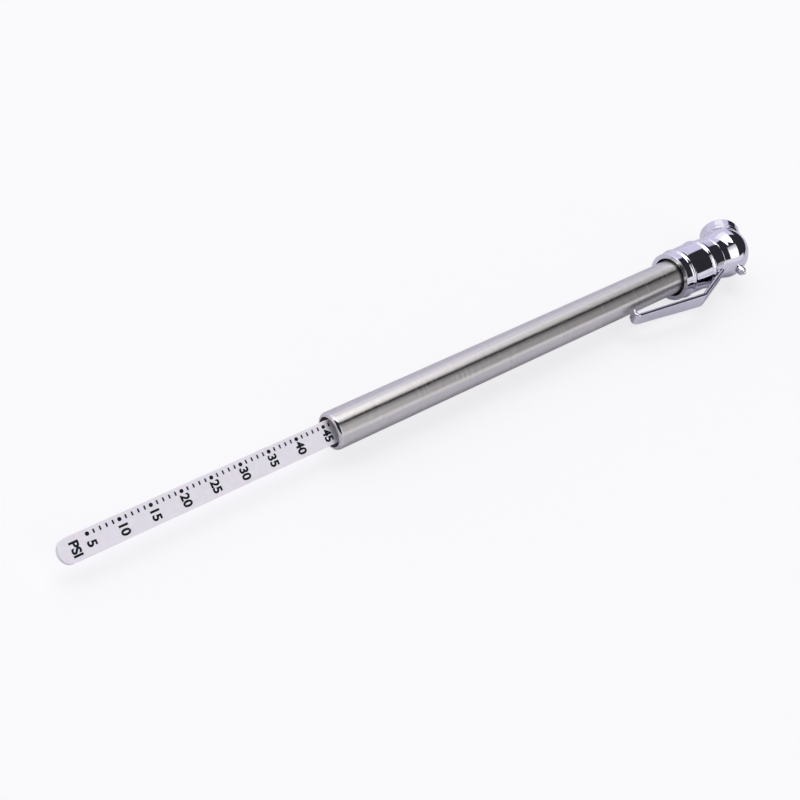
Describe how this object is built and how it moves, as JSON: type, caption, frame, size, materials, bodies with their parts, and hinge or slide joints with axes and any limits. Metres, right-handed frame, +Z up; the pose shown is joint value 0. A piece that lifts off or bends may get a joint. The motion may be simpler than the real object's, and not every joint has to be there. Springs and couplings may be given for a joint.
{
  "type": "tire pressure gauge",
  "caption": "Pencil-type tire pressure gauge: a slim tube with a sliding printed scale bar, a sprung piston inside, a pocket clip and a leaning chuck that presses onto a valve stem.",
  "frame": {"origin": "middle of the bounding box's bottom face, with the gauge lying on its side", "axes": "+X along the tube towards the chuck head, +Y towards the side that the chuck faces, -Y towards the pocket clip, +Z up"},
  "size_m": [0.219, 0.0216, 0.0142],
  "materials": {
    "stainless": "satin stainless steel, finely drawn along its length",
    "chrome": "bright chrome plate",
    "white_plastic": "white nylon with black printing",
    "black_plastic": "black moulded acetal",
    "spring_steel": "bright spring steel",
    "brass": "turned brass",
    "rubber": "black nitrile rubber"
  },
  "bodies": {
    "gauge_body": {"body_tube": "stainless", "guide_bushing": "black_plastic", "friction_leaf": "spring_steel", "spring_seat_front": "spring_steel", "calibrated_spring": "spring_steel", "collar_sleeve": "chrome", "tube_ferrule": "brass", "clip_ring": "chrome", "tube_seal_ring": "rubber", "head_casting": "chrome", "chuck_ring": "chrome", "chuck_seal": "rubber", "valve_pin": "brass", "deflator_pin": "chrome"},
    "indicator": {"indicator_bar": "white_plastic", "bar_foot": "black_plastic"},
    "piston": {"spring_seat_rear": "spring_steel", "piston_body": "brass", "cup_seal": "rubber", "seal_spreader": "spring_steel", "piston_screw": "brass"},
    "clip": {"clip_arm": "chrome"}
  },
  "joints": [
    {"name": "indicator_slide", "type": "slide", "parent": "gauge_body", "child": "indicator", "axis": [-1, 0, 0], "range_m": [-0.0688, 0.0065]},
    {"name": "piston_slide", "type": "slide", "parent": "gauge_body", "child": "piston", "axis": [-1, 0, 0], "range_m": [-0.0688, 0.0065], "deforming": ["calibrated_spring"]},
    {"name": "clip_flex", "type": "hinge", "parent": "gauge_body", "child": "clip", "pos_m": [0.09152, -0.00575, 0.00711], "axis": [0, 0, 1], "range_deg": [0, 6], "stiffness_Nm_per_rad": 0.8, "springref_deg": -2.86}
  ],
  "couplings": [
    {"joint": "piston_slide", "follows": "indicator_slide", "ratio": 1}
  ]
}
